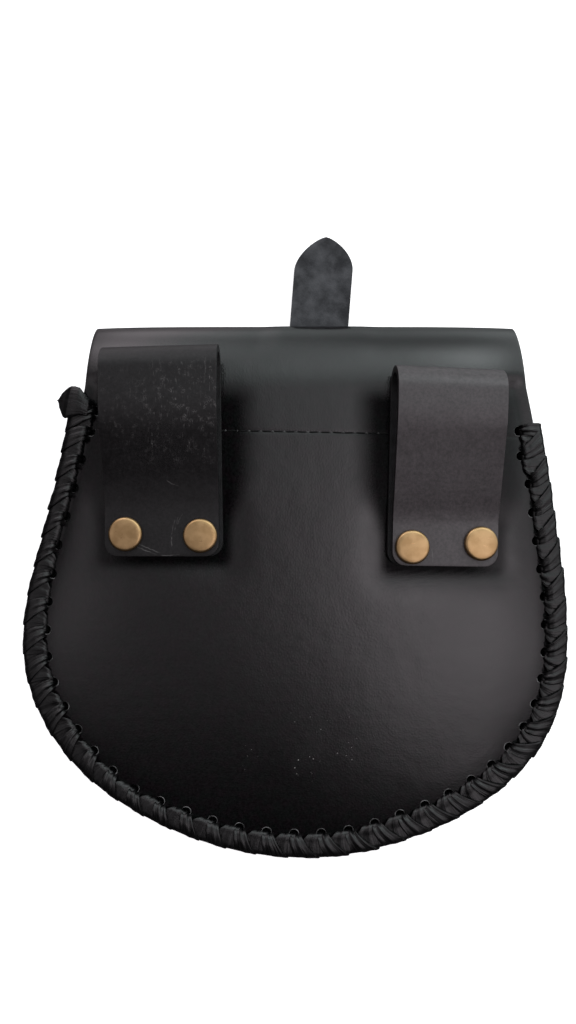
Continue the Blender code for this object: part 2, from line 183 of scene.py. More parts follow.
def foot_dent(x, y):
    """1 under the riveted foot of a belt loop, fading to 0 round it."""
    deepest = 0.0
    for _, middle, half_width, foot, *_ in LOOPS:
        aside = max(abs(x - middle) - half_width, 0.0)
        above = max(abs(y - foot - LOOP_CLAMP / 2) - LOOP_CLAMP / 2, 0.0)
        deepest = max(deepest, math.exp(-(aside**2 + above**2) / FOOT_DENT_REACH**2))
    return deepest


def back_height(x, y):
    return BACK_LEVEL + BACK_DOME * bulge(x - sway(y), y) - FOOT_DENT * foot_dent(x, y)


def painted_shade(x, y):
    """Painted shade: 1 in the shadow beside a belt loop, fading to 0 away from it, and some along the laced
    margin below the seam.
    """
    most = 0.0
    for _, middle, half_width, foot, top, *_ in LOOPS:
        aside = max(abs(x - middle) - half_width, 0.0)
        above = max(abs(y - (foot + top) / 2) - (top - foot) / 2, 0.0)
        reach = between(*PAINTED_SHADE_REACH, eased(y - foot, *PAINTED_SHADE_WIDENS))
        amount = 1 - eased(math.hypot(aside, above) / reach, PAINTED_SHADE_CORE, 1.0)
        outer_side = eased((abs(x) - abs(middle)) / half_width, *PAINTED_SHADE_SIDES)
        most = max(most, amount * between(1.0, PAINTED_SHADE_OUTSIDE, outer_side) * (1 - eased(y, *PAINTED_SHADE_TOP)))
    at_edge = 1 - eased(bulge(x - sway(y), y), 0.0, EDGE_PAINTED_SHADE_BULGE)
    return max(most, EDGE_PAINTED_SHADE * at_edge if y < SEAM_HEIGHT else 0.0)


def seam_y(x):
    return SEAM_HEIGHT + SEAM_TILT * x


def groove(off_seam):
    """How far the leather sinks beside the seam, where the stitches pull it down."""
    return GROOVE_DEPTH * math.exp(-((off_seam / GROOVE_WIDTH) ** 2))


def sheet(name, columns, rows, place):
    """Leather cut flat as a grid, then laid so that each point goes where place(across, along) says."""
    bpy.ops.mesh.primitive_grid_add(x_subdivisions=columns, y_subdivisions=rows, size=2)
    obj = bpy.context.object
    obj.name = obj.data.name = name
    for vertex in obj.data.vertices:
        vertex.co = on_table(*place((vertex.co.x + 1) / 2, (vertex.co.y + 1) / 2))
    return obj


def select(*objects):
    """Selects these alone, the first one active."""
    bpy.ops.object.select_all(action="DESELECT")
    for obj in objects:
        obj.select_set(True)
    bpy.context.view_layer.objects.active = objects[0]


def joined(name, pieces):
    """Makes one object of these pieces."""
    select(*pieces)
    bpy.ops.object.join()
    pieces[0].name = pieces[0].data.name = name
    return pieces[0]


def apply(obj, kind, **settings):
    """Adds a modifier and applies it."""
    select(obj)
    modifier = obj.modifiers.new(kind.lower(), kind)
    for name, value in settings.items():
        setattr(modifier, name, value)
    bpy.ops.object.modifier_apply(modifier=modifier.name)


def thicken(obj, thickness, offset=-1.0, rounding=CUT_EDGE_ROUNDING):
    """Grain side out, flesh side behind it, and the cut edge round the rim, with its corners broken."""
    while len(obj.data.materials) < 3:
        obj.data.materials.append(None)
    apply(obj, "SOLIDIFY", thickness=thickness, offset=offset, use_quality_normals=True,
          material_offset=1, material_offset_rim=2)
    apply(obj, "BEVEL", width=rounding, segments=3, limit_method="ANGLE", angle_limit=math.radians(60))


def punch(obj, holes, depth):
    """Cuts round holes, each (x, y, radius) square to the back."""
    cutters = []
    for x, y, radius in holes:
        bpy.ops.mesh.primitive_cylinder_add(vertices=ROUND_STEPS, radius=radius, depth=depth)
        bpy.context.object.data.transform(square_to_back(x, y))
        cutters.append(bpy.context.object)
    cutter = joined("cutter", cutters)
    apply(obj, "BOOLEAN", operation="DIFFERENCE", solver="EXACT", object=cutter)
    bpy.data.objects.remove(cutter)


def square_to_back(x, y):
    """Where a piece stands that is square to the leather of the back at this place."""
    step = 0.002
    rise_x = (back_height(x + step, y) - back_height(x - step, y)) / (2 * step)
    rise_y = (back_height(x, y + step) - back_height(x, y - step)) / (2 * step)
    turn = Vector((-rise_x, -rise_y, 1.0)).to_track_quat("Z", "Y").to_matrix().to_4x4()
    return Matrix.Translation(on_table(x, y, back_height(x, y))) @ turn


def attach(obj, materials, slot, *nodes, angle=50):
    """Finishes a piece: its materials, its shading, what it stands for and what it rides on. Its slot is
    not used.
    """
    for place, material in enumerate(materials):
        if place < len(obj.data.materials):
            obj.data.materials[place] = material
        else:
            obj.data.materials.append(material)
    select(obj)
    bpy.ops.object.shade_smooth_by_angle(angle=math.radians(angle))
    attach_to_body(obj, "root")
    if nodes:
        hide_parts(*nodes)


def mark_painted_shade(obj):
    """Notes at each point of the leather how much painted shade it gets, for its finish to read."""
    amounts = [painted_shade(*(vertex.co - TABLE_PLACE).xy) for vertex in obj.data.vertices]
    obj.data.attributes.new("painted_shade", "FLOAT", "POINT").data.foreach_set("value", amounts)


class Value:
    """A number or colour that changes over a surface. Sums with it add nodes to its material."""

    def __init__(self, tree, socket=None):
        self.tree = tree
        self.socket = socket

    def node(self, kind, settings=None, inputs=None, output=0):
        """Any node: its settings first, then the values or links of its sockets."""
        made = self.tree.nodes.new("ShaderNode" + kind)
        for name, value in (settings or {}).items():
            setattr(made, name, value)
        for name, value in (inputs or {}).items():
            if isinstance(value, Value):
                self.tree.links.new(value.socket, made.inputs[name])
            else:
                made.inputs[name].default_value = value
        return Value(self.tree, made.outputs[output])

    def math(self, operation, *numbers):
        return self.node("Math", {"operation": operation}, dict(enumerate(numbers)))

    def __add__(self, other):
        return self.math("ADD", self, other)

    __radd__ = __add__

    def __sub__(self, other):
        return self.math("SUBTRACT", self, other)

    def __rsub__(self, other):
        return self.math("SUBTRACT", other, self)

    def __mul__(self, other):
        return self.math("MULTIPLY", self, other)

    __rmul__ = __mul__

    def size(self):
        """Its distance from 0."""
        return self.math("ABSOLUTE", self)

    def coordinates(self, kind="Object"):
        """Where a point lies on its piece, in its UV map or in the room."""
        return self.node("TexCoord", output=kind)

    def part(self, axis):
        """X, Y or Z of a point."""
        return self.node("SeparateXYZ", {}, {"Vector": self}, output=axis)

    def rise(self, low, high):
        """0 below low, 1 above high and a smooth rise between them."""
        return self.node("MapRange", {"interpolation_type": "SMOOTHSTEP"},
                         {"Value": self, "From Min": low, "From Max": high})

    def band(self, low, full, still_full, high):
        """1 from full to still_full, falling to 0 at low and at high."""
        return self.rise(low, full) * self.rise(high, still_full)

    def noise(self, scale, detail=2.0, roughness=0.5, seed=0.0):
        """Soft patches over these points."""
        sockets = {"Vector": self, "W": seed, "Scale": scale, "Detail": detail, "Roughness": roughness}
        return self.node("TexNoise", {"noise_dimensions": "4D"}, sockets)

    def cells(self, scale, feature="DISTANCE_TO_EDGE"):
        """Small cells over these points."""
        return self.node("TexVoronoi", {"feature": feature}, {"Vector": self, "Scale": scale})

    def stretched(self, scale, turn=0.0):
        """The same points, pulled out along an axis, for strokes and fibres."""
        return self.node("Mapping", {}, {"Vector": self, "Rotation": (0.0, 0.0, turn), "Scale": scale})

    def mixed(self, first, second):
        """From the first colour to the second, by this number."""
        ends = [end if isinstance(end, Value) else (*end, 1.0) for end in (first, second)]
        return self.node("Mix", {"data_type": "RGBA"}, {0: self, 6: ends[0], 7: ends[1]}, output=2)

    def bump(self, strength, distance, **over):
        """A normal from this height, over another bump's if one is given."""
        return self.node("Bump", {}, {"Strength": strength, "Distance": distance, "Height": self, **over})


def new_finish(name):
    """A new material and the points of the piece, which its pattern lies on."""
    material = bpy.data.materials.new(name)
    material.use_nodes = True
    return material, Value(material.node_tree).coordinates()


def set_finish(material, **sockets):
    shader = material.node_tree.nodes["Principled BSDF"]
    for name, value in sockets.items():
        socket = shader.inputs[name.replace("_", " ").title().replace("Ior", "IOR")]
        if isinstance(value, Value):
            material.node_tree.links.new(value.socket, socket)
        else:
            socket.default_value = value
    return material


def with_painted_shade(material, share, **sockets):
    """The same finish, but duller where share is near 1, which paints shade there."""
    tree = material.node_tree
    unshaded = tree.nodes["Principled BSDF"]
    unshaded.name = "unshaded"
    shaded = tree.nodes.new("ShaderNodeBsdfPrincipled")
    shaded.name = "Principled BSDF"
    for link in [link for link in tree.links if link.to_node == unshaded]:
        tree.links.new(link.from_socket, shaded.inputs[link.to_socket.identifier])
    set_finish(material, **sockets)
    blend = share.node("MixShader", {}, {"Fac": share})
    tree.links.new(unshaded.outputs[0], blend.socket.node.inputs[1])
    tree.links.new(shaded.outputs[0], blend.socket.node.inputs[2])
    tree.links.new(blend.socket, tree.nodes["Material Output"].inputs["Surface"])
    return material


def smooth_grain():
    """Black grain side: fine pores, a few broad uneven patches, faint pulls, specks of dust, and painted
    shade beside the belt loops and along the laced margin.
    """
    material, points = new_finish("smooth_black_grain")
    patches = points.noise(45.0, detail=3.0)
    pores = points.cells(1150.0).rise(0.0, 0.32)
    fine = points.noise(2300.0)
    pulls = points.stretched((55.0, 420.0, 60.0)).noise(1.0, detail=3.0)
    mottles = points.noise(210.0, detail=3.0, roughness=0.6)
    height = 0.5 * pores + 0.5 * fine + 0.9 * pulls + 1.3 * mottles
    sunk = patches.bump(1.0, 0.0002, Normal=height.bump(0.45, 0.000042))
    across, up = points.part("X"), points.part("Y")
    dusty = up.band(-0.087, -0.078, -0.068, -0.056) * across.band(-0.020, -0.008, 0.018, 0.030)
    dusty = dusty * points.noise(90.0, detail=3.0).rise(0.48, 0.60)
    dust = points.cells(520.0, "F1").rise(0.13, 0.05) * dusty + 0.012 * dusty * mottles
    tinge = points.noise(330.0, seed=7.0).rise(0.35, 0.65)
    grit = points.noise(1100.0, roughness=0.7).rise(0.30, 0.70)
    dark = tinge.mixed((0.0003, 0.0008, 0.0007), (0.0009, 0.0003, 0.0007))
    light = tinge.mixed((0.0038, 0.0046, 0.0044), (0.0052, 0.0038, 0.0047))
    colour = dust.mixed(grit.mixed(dark, light), (0.28, 0.27, 0.26))
    set_finish(material, base_color=colour, roughness=0.115 + 0.05 * patches + dust * 0.3,
               specular_ior_level=0.5, normal=sunk)
    # painted shade: beside the belt loops and along the laced margin the reflection is nearly taken away
    shade_share = points.node("Attribute", {"attribute_name": "painted_shade"}, output=2)
    return with_painted_shade(material, shade_share, specular_ior_level=0.03)


def flesh_side(name, dark, light, scale):
    """Flesh side: matte and fibrous, in patches."""
    material, points = new_finish(name)
    fibres = points.noise(1500.0, detail=4.0, roughness=0.7)
    patches = points.noise(scale, detail=4.0, roughness=0.6).rise(0.30, 0.72)
    tone = (0.75 * patches + 0.25 * fibres).mixed(dark, light)
    return set_finish(material, base_color=tone, roughness=0.92, specular_ior_level=0.25,
                      normal=fibres.bump(0.8, 0.00022))


def cut_edge():
    """Dyed and rubbed edge, with its fibres lying along it."""
    material, points = new_finish("dyed_cut_edge")
    fibres = points.stretched((900.0, 900.0, 2600.0)).noise(1.0, detail=3.0)
    specks = points.noise(1300.0, detail=1.0).rise(0.66, 0.78)
    colour = specks.mixed((0.006, 0.0058, 0.006), (0.05, 0.048, 0.047))
    return set_finish(material, base_color=colour, roughness=0.36 + 0.2 * fibres,
                      normal=fibres.bump(0.8, 0.00016))


grain = smooth_grain()
flesh = flesh_side("black_flesh_side", (0.008, 0.008, 0.008), (0.022, 0.022, 0.023), 260.0)
edge_finish = cut_edge()

HOLE_PITCH = 0.01007
HOLE_RADIUS = 0.0016
HOLES = (-0.2130, *(-0.2056 + number * HOLE_PITCH for number in range(41)), 0.2058)
HOLE_REACHES = (
    # length along the edge, how far in from it the hole lies
    (-0.213, 0.0060), (-0.206, 0.0054), (-0.196, 0.0042), (-0.165, 0.0040), (-0.150, 0.0056),
    (-0.125, 0.0066), (-0.103, 0.0074), (-0.085, 0.0067), (-0.064, 0.0048), (-0.045, 0.0060),
    (0.015, 0.0066), (0.035, 0.0080), (0.066, 0.0076), (0.086, 0.0069), (0.105, 0.0056),
    (0.146, 0.0050), (0.176, 0.0058), (0.187, 0.0056), (0.197, 0.0070), (0.206, 0.0060),
)


def on_edge(length, outwards=0.0):
    """Point of the drawing this far along the panels' edge and this far out from it."""
    edge, outward = edge_at(length)
    point = edge + outwards * outward
    return Vector((point.x + sway(point.y), point.y))


def read_off(table, length):
    """The value that a table of places and values gives at this length along the edge."""
    return float(np.interp(length, *zip(*table)))


RIVETS = (
    # name, across, up
    ("left_outer", -0.0601, 0.1104),
    ("left_inner", -0.0354, 0.1100),
    ("right_inner", 0.0354, 0.1062),
    ("right_outer", 0.0581, 0.1073),
)
SHANK_RADIUS = 0.0018
SHANK_CLEARANCE = 0.0003


def in_panel(across, along, height):
    """Blends a grid's four sides: a line at this height on top and three stretches of the laced edge."""
    top = length_at(height)
    upper = on_edge(-top).lerp(on_edge(top), across)
    lower = on_edge(between(-PANEL_CORNER, PANEL_CORNER, across))
    left = on_edge(between(-PANEL_CORNER, -top, along))
    right = on_edge(between(PANEL_CORNER, top, along))
    corners = on_edge(-PANEL_CORNER).lerp(on_edge(PANEL_CORNER), across).lerp(upper, along)
    return lower.lerp(upper, along) + left.lerp(right, across) - corners


def back_panel_place(across, along):
    along = 1 - (1 - along) ** ROW_CROWDING
    point = in_panel(across, along, SEAM_HEIGHT)
    point.y += SEAM_TILT * point.x * along**TILT_FADE
    depth = groove(seam_y(point.x) - point.y)
    return point.x, point.y, back_height(point.x, point.y) - depth


pouch_back = sheet("pouch_back", *PANEL_GRID, back_panel_place)
thicken(pouch_back, PANEL_LEATHER)
lace_punches = [(*on_edge(length, -read_off(HOLE_REACHES, length)), HOLE_RADIUS) for length in HOLES]
rivet_punches = [(x, y, SHANK_RADIUS + SHANK_CLEARANCE) for _, x, y in RIVETS]
punch(pouch_back, lace_punches[1:-1] + rivet_punches, 4 * PANEL_LEATHER)
mark_painted_shade(pouch_back)
attach(pouch_back, (grain, flesh, edge_finish), "smooth_leather", "back_panel")

# The front: the same U in the same leather, bellied out by the pouch's depth. It faces the table and
# is laced to the back, and its top edge is the pouch's mouth.
STRAP_LEATHER = 0.0022
CLASP_HEIGHT = 0.002
FLAP_LEATHER = 0.0024
TOUCH = 0.0003
FRONT_LEVEL = EDGE_HEIGHT - EDGE_GAP / 2 - PANEL_LEATHER
FRONT_GRID = (90, 72)
FRONT_DEPTH = FRONT_LEVEL - (STRAP_LEATHER + CLASP_HEIGHT + FLAP_LEATHER + 3 * TOUCH)


def front_height(x, y):
    return FRONT_LEVEL - FRONT_DEPTH * bulge(x - sway(y), y)


def front_panel_place(across, along):
    point = in_panel(1 - across, along, MOUTH_HEIGHT)
    return point.x, point.y, front_height(point.x, point.y)


pouch_front = sheet("pouch_front", *FRONT_GRID, front_panel_place)
thicken(pouch_front, PANEL_LEATHER)
attach(pouch_front, (grain, flesh, edge_finish), "smooth_leather", "front_panel")

# The flap: a wide sheet of the same leather, sewn edge to edge to the back, folded over the top and
# closed down the front, where it lies on the table and rises over the strap and its clasp.
FOLD_TOP = 0.1841
FOLD_DEPTH = 0.014
FOLD_HALF_WIDTH = 0.0744
FLAP_FRONT_LENGTH = 0.120
FLAP_SIDE_LENGTH = 0.062
FLAP_END_HALF_WIDTH = 0.066
FLAP_ROUNDNESS = 2.4
FLAP_EASING = 0.010
FLAP_CLEARANCE = 0.0014
FLAP_COLUMNS = 120
FLAP_ROWS = (26, 36, 40)  # back, fold, front
FLAP_ROW_CROWDING = 1.7
ROLL_START = 0.161  # where the back's leather begins to roll towards the fold
STRAP_HALF_WIDTH = 0.0110
STRAP_TIP_HEIGHT = 0.2212
STRAP_TIP_X = 0.0082
STRAP_LEAN = math.radians(4.5)
CLASP_RADIUS = 0.007
CLASP_INSET = 0.022
FOLD_START = FOLD_TOP - FOLD_DEPTH
FLAP_END = FOLD_TOP - FLAP_FRONT_LENGTH
CLASP_Y = FLAP_END + CLASP_INSET


def strap_middle(y):
    return STRAP_TIP_X - (STRAP_TIP_HEIGHT - y) * math.tan(STRAP_LEAN)


def flap_half_width(y, on_front):
    if on_front:
        return between(FOLD_HALF_WIDTH, FLAP_END_HALF_WIDTH, (FOLD_TOP - y) / FLAP_FRONT_LENGTH)
    if y < MOUTH_HEIGHT:
        return edge_at(length_at(y))[0].x
    return between(MOUTH_HALF_WIDTH, FOLD_HALF_WIDTH, (y - MOUTH_HEIGHT) / (FOLD_TOP - MOUTH_HEIGHT))


def flap_front_height(x, y):
    beside = abs(x - strap_middle(y)) - STRAP_HALF_WIDTH - FLAP_CLEARANCE
    away = math.hypot(x - strap_middle(CLASP_Y), y - CLASP_Y) - CLASP_RADIUS - FLAP_CLEARANCE
    over_strap = (STRAP_LEATHER + TOUCH) * (1 - smooth(beside / FLAP_EASING))
    return over_strap + (CLASP_HEIGHT + TOUCH) * (1 - smooth(away / FLAP_EASING))


def flap_place(across, along):
    back_rows, fold_rows, front_rows = FLAP_ROWS
    share = 2 * across - 1
    row = along * sum(FLAP_ROWS)
    if row <= back_rows:
        up = (row / back_rows) ** FLAP_ROW_CROWDING
        y = between(SEAM_HEIGHT, ROLL_START, up)
        x = share * flap_half_width(y, False)
        y += SEAM_TILT * x * (1 - up) ** TILT_FADE
        return x, y, back_height(x, y) - groove(y - seam_y(x))
    if row < back_rows + fold_rows:
        turn = math.pi * (row - back_rows) / fold_rows
        roll_from = ROLL_START if turn < math.pi / 2 else FOLD_START
        y = between(roll_from, FOLD_TOP, math.sin(turn))
        x = share * flap_half_width(y, turn > math.pi / 2)
        high, low = back_height(x, y), flap_front_height(x, y)
        return x, y, (high + low) / 2 + (high - low) / 2 * math.cos(turn)
    round_part = (1 - min(abs(share), 1.0) ** FLAP_ROUNDNESS) ** (1 / FLAP_ROUNDNESS)
    end = FOLD_TOP - between(FLAP_SIDE_LENGTH, FLAP_FRONT_LENGTH, round_part)
    y = between(FOLD_START, end, (row - back_rows - fold_rows) / front_rows)
    x = share * flap_half_width(y, True)
    return x, y, flap_front_height(x, y)


flap = sheet("pouch_flap", FLAP_COLUMNS, sum(FLAP_ROWS), flap_place)
thicken(flap, FLAP_LEATHER)
punch(flap, [lace_punches[0], lace_punches[-1]], 4 * FLAP_LEATHER)
mark_painted_shade(flap)
attach(flap, (grain, flesh, edge_finish), "smooth_leather", "flap")

# The seam between flap and back: short black stitches sunk in a shallow groove, with the rim of each
# needle hole standing up a little between them, its pale grey finish a painted glint.
STITCH_PITCH = 0.0040
STITCH_LENGTH = 0.0029
STITCH_RADIUS = 0.00030
STITCH_TURN = 0.05
MIDDLE_RING = 1e-7  # a point nearer the middle than this stays there
STITCH_SINKS = (-0.00008, 0.00004)
SEAM_INSET = 0.0105
SEAM_END = edge_at(length_at(SEAM_HEIGHT))[0].x - SEAM_INSET
NEEDLE_RIM_RADIUS = 0.00036
NEEDLE_RIM_SIZES = (0.7, 1.3)
NEEDLE_RIM_FLATNESS = 0.6
NEEDLE_RIM_RISE = 0.00012


def thread_finish():
    """Waxed black thread, twisted."""
    material, points = new_finish("waxed_black_thread")
    twist = points.stretched((3500.0, 900.0, 900.0), 0.6).noise(1.0, detail=1.0)
    tone = twist.mixed((0.0015, 0.0015, 0.0015), (0.005, 0.005, 0.005))
    return set_finish(material, base_color=tone, roughness=0.8, specular_ior_level=0.2,
                      normal=twist.bump(0.7, 0.00008))


def painted_glint_finish(name, lighter):
    """Leather standing up round a hole, pale grey in patches: a painted glint."""
    material, points = new_finish(name)
    glint_patches = points.noise(520.0, detail=1.0).rise(0.35, 0.7)
    tone = glint_patches.mixed((0.012, 0.012, 0.012), (lighter, lighter, lighter))
    return set_finish(material, base_color=tone, roughness=0.5)


def copies_joined(name, source, places):
    """Copies one small piece to each place, then joins the copies into one object."""
    made = []
    for place in places:
        copy = bpy.data.objects.new(name, source.data.copy())
        bpy.context.scene.collection.objects.link(copy)
        copy.data.transform(place)
        made.append(copy)
    bpy.data.objects.remove(source)
    return joined(name, made)


def seam_place(x, sink, turn=0.0):
    y = seam_y(x)
    level = back_height(x, y) - GROOVE_DEPTH - sink
    return Matrix.Translation(on_table(x, y, level)) @ Matrix.Rotation(turn, 4, "Z")


bpy.ops.mesh.primitive_uv_sphere_add(segments=10, ring_count=8, radius=STITCH_RADIUS)
stitch = bpy.context.object
for vertex in stitch.data.vertices:  # turned to lie along X, then its two halves drawn apart
    vertex.co = (vertex.co.z, vertex.co.y, -vertex.co.x)
    if abs(vertex.co.x) > MIDDLE_RING:
        vertex.co.x += math.copysign(STITCH_LENGTH / 2 - STITCH_RADIUS, vertex.co.x)
stitch_random = random.Random(11)
stitch_places, rim_places = [], []
x = -SEAM_END
while x < SEAM_END:
    lean = math.atan(SEAM_TILT) + stitch_random.uniform(-STITCH_TURN, STITCH_TURN)
    stitch_places.append(seam_place(x, stitch_random.uniform(*STITCH_SINKS), lean))
    size = stitch_random.uniform(*NEEDLE_RIM_SIZES)
    shape = Matrix.Diagonal((size, size, NEEDLE_RIM_FLATNESS * size, 1.0))
    rim_places.append(seam_place(x + STITCH_PITCH / 2, -NEEDLE_RIM_RISE) @ shape)
    x += STITCH_PITCH
stitches = copies_joined("seam_stitches", stitch, stitch_places)
attach(stitches, (thread_finish(),), None)
bpy.ops.mesh.primitive_uv_sphere_add(segments=10, ring_count=6, radius=NEEDLE_RIM_RADIUS)
rims = copies_joined("seam_needle_rims", bpy.context.object, rim_places)
# pale grey rims: painted glints between the stitches
attach(rims, (painted_glint_finish("needle_rim_painted_glint", 0.058),), "smooth_leather")

# The belt loops: two wide black straps, each folded over at the top so that a belt passes behind its
# front layer, with both ends riveted to the back. The left one is dry and scratched. Both are one black
# leather: the right one's finish is painted lighter, as lit, and the left one's partly painted darker, as
# shaded.
LOOP_LEATHER = 0.0024
LOOP_STANDOFF = 0.0145
LOOP_FOLD_REACH = 0.0062
LOOP_SLOPES = {
    # how far below the fold the front layer starts to fall, how far above the foot it lies down, its ease
    "left": (0.010, 0.017, 0.34),
    "right": (0.005, 0.013, 0.22),
}
LOOP_CORNER = 0.0045
LOOP_EDGE_ROUNDING = 0.0004
LOOP_PUNCH = 0.020  # long enough for both layers
LOOP_ROWS = (26, 22, 44)  # back layer, fold, front layer


def loop_grain(name, scratches, creases, tint, roughness, specular, straight_scratches):
    """Satin black grain, with fine white scratches and dry cracks in the fold's half. Its tint and
    reflection set how light it shows, and paint light on the right loop.
    """
    material, points = new_finish(name)
    laid = points.coordinates("UV")
    across, along = laid.part("X"), laid.part("Y")
    patches = points.noise(70.0, detail=3.0)
    mottles = points.noise(260.0, detail=4.0, roughness=0.65)
    fine = points.noise(2100.0)
    waves = points.stretched((60.0, 420.0, 200.0), 0.06).noise(1.0, detail=3.0, seed=3.0)
    folded = along.band(0.66, 0.76, 0.84, 0.93) * creases
    upper = along.band(0.47, 0.54, 0.66, 0.86) * (0.55 + 0.45 * across.rise(0.1, 0.9))
    lighter = points.noise(120.0, detail=3.0, seed=2.0).rise(0.26, 0.52)
    wander = points.node("TexNoise", {}, {"Vector": points, "Scale": 420.0}, output=1)
    off = wander.node("VectorMath", {"operation": "SCALE"}, {0: wander, "Scale": 0.0010})
    bent = points.node("VectorMath", {"operation": "ADD"}, {0: points, 1: off})
    cracks = bent.cells(1700.0).rise(0.13, 0.02) * points.noise(520.0, detail=3.0).rise(0.50, 0.64)
    strokes = points.stretched((900.0, 60.0, 60.0), 0.08).noise(1.0, seed=5.0)
    cross = points.stretched((700.0, 90.0, 60.0), 0.5).noise(1.0, seed=8.0)
    lines = (strokes - 0.5).size().rise(0.020, 0.004) + (cross - 0.5).size().rise(0.014, 0.004)
    lines = lines * points.noise(700.0, seed=4.0).rise(0.46, 0.62)
    marks = (0.60 * cracks + 0.44 * lines + 0.05 * mottles) * lighter * upper * scratches
    for line in straight_scratches:
        marks = marks + 0.62 * scratch(bent, line) * mottles.rise(0.32, 0.58)
    height = 0.5 * fine + 0.9 * mottles + 2.2 * waves * folded - 0.5 * marks
    sunk = patches.bump(1.0, 0.0004, Normal=height.bump(0.5, 0.00008))
    grit = points.noise(1000.0, roughness=0.7).rise(0.30, 0.70)
    # the tint sets the grain's tone; the right loop's is far lighter than its black leather, which is
    # painted light
    low_tint, high_tint = ([share * part for part in tint] for share in (0.45, 1.55))
    mottled_tone = (0.3 * mottles.rise(0.3, 0.7) + 0.7 * grit).mixed(low_tint, high_tint)
    colour = marks.rise(0.0, 1.1).mixed(mottled_tone, (0.105, 0.100, 0.100))
    return set_finish(material, base_color=colour, roughness=roughness + 0.12 * patches,
                      specular_ior_level=specular, normal=sunk)


def scratch(points, line, width=0.00024):
    """1 along a straight scratch from one place to another, seen from above."""
    x, y, end_x, end_y = line
    length = math.hypot(end_x - x, end_y - y)
    turn = (0.0, 0.0, math.atan2(end_y - y, end_x - x))
    local = points.node("Mapping", {"vector_type": "TEXTURE"},
                        {"Vector": points, "Location": (x, y, 0.0), "Rotation": turn})
    ends = local.part("X").band(0.0, 0.2 * length, 0.7 * length, length)
    return ends * local.part("Y").size().rise(width, 0.3 * width)


# One black leather for both loops: the right one's far lighter tint and stronger reflection are painted
# light; the left one's darker, duller finish is partly its dry, scratched wear and partly painted shade.
loop_finishes = {
    "left": loop_grain("dry_scratched_grain_painted_shade", 1.0, 0.2, (0.0072, 0.0065, 0.0070), 0.36, 0.26, (
        (-0.0545, -0.0012, -0.0445, -0.0052), (-0.0535, -0.0003, -0.0435, -0.0047),
        (-0.0450, -0.0050, -0.0370, -0.0048), (-0.0427, 0.0203, -0.0373, 0.0177),
        (-0.0395, 0.0075, -0.0412, 0.0005), (-0.0383, 0.0085, -0.0402, 0.0018),
        (-0.0368, 0.0095, -0.0392, 0.0045), (-0.0405, 0.0020, -0.0408, -0.0025),
    )),
    "right": loop_grain("satin_black_grain_painted_light", 0.2, 1.0, (0.0300, 0.0243, 0.0264), 0.38, 0.62, (
        (0.0466, -0.0020, 0.0467, -0.0082),
    )),
}


def ramp(share, ease):
    """A straight slope from 0 to 1 with its two ends eased."""
    share = min(max(share, 0.0), 1.0)
    if share > 0.5:
        return 1 - ramp(1 - share, ease)
    return (share**2 / (2 * ease) if share < ease else share - ease / 2) / (1 - ease)


def loop_columns(half_width):
    """Shares of a loop's half width, closer together round its lower corners."""
    corner = LOOP_CORNER / half_width
    half = [1 - corner * (1 - math.cos(math.radians(turn))) for turn in (0, 15, 30, 45, 60, 75, 90)]
    inner = [0.62, 0.45, 0.28, 0.12]
    return [-share for share in half + inner] + [0.0] + (half + inner)[::-1]


for name, middle, half_width, foot, top, tilt, fold_tilt, foot_shift, fold_shift in LOOPS:
    columns = loop_columns(half_width)
    back_rows, fold_rows, front_rows = LOOP_ROWS
    back_level = TOUCH + LOOP_LEATHER / 2
    clamp_level = back_level + LOOP_LEATHER + TOUCH
    front_level = TOUCH + LOOP_STANDOFF - LOOP_LEATHER / 2
    fold_from = top - LOOP_LEATHER / 2 - LOOP_FOLD_REACH
    centre = Vector((middle, (foot + top) / 2))
    level = back_height(middle, centre.y)
    turned = Matrix.Rotation(math.radians(tilt), 2)
    falls_at, lies_at, ease = LOOP_SLOPES[name]

    def loop_place(across, along):
        share = columns[round(across * (len(columns) - 1))]
        beyond = max(abs(share) * half_width - (half_width - LOOP_CORNER), 0.0)
        end = foot + LOOP_CORNER - math.sqrt(max(LOOP_CORNER**2 - beyond**2, 0.0))
        row = along * sum(LOOP_ROWS)
        if row <= back_rows:
            y = between(end, fold_from, row / back_rows)
            up, raised, aside = back_level, 0.0, between(foot_shift, fold_shift, row / back_rows)
        elif row < back_rows + fold_rows:
            turn = math.pi * (row - back_rows) / fold_rows
            y = fold_from + LOOP_FOLD_REACH * math.sin(turn)
            raised = (1 - math.cos(turn)) / 2
            up, aside = between(back_level, front_level, raised), fold_shift * (1 - raised)
        else:
            y = between(fold_from, end, (row - back_rows - fold_rows) / front_rows)
            raised = ramp((y - foot - lies_at) / (fold_from - falls_at - foot - lies_at), ease)
            up, aside = between(clamp_level, front_level, raised), 0.0
        y += math.tan(math.radians(fold_tilt)) * share * half_width * (y - foot) / (top - foot)
        point = centre + turned @ Vector((share * half_width + aside, y - centre.y))
        seat = back_height(point.x, min(point.y, FOLD_START))
        return point.x, point.y, between(seat, level, raised) + up

    loop = sheet(f"loop_{name}", len(columns) - 1, sum(LOOP_ROWS), loop_place)
    thicken(loop, LOOP_LEATHER, offset=0.0, rounding=LOOP_EDGE_ROUNDING)
    own_punches = [hole for hole, rivet in zip(rivet_punches, RIVETS) if rivet[0].startswith(name)]
    punch(loop, own_punches, LOOP_PUNCH)
    attach(loop, (flesh, loop_finishes[name], edge_finish), "loop_leather", f"belt_loop_{name}")

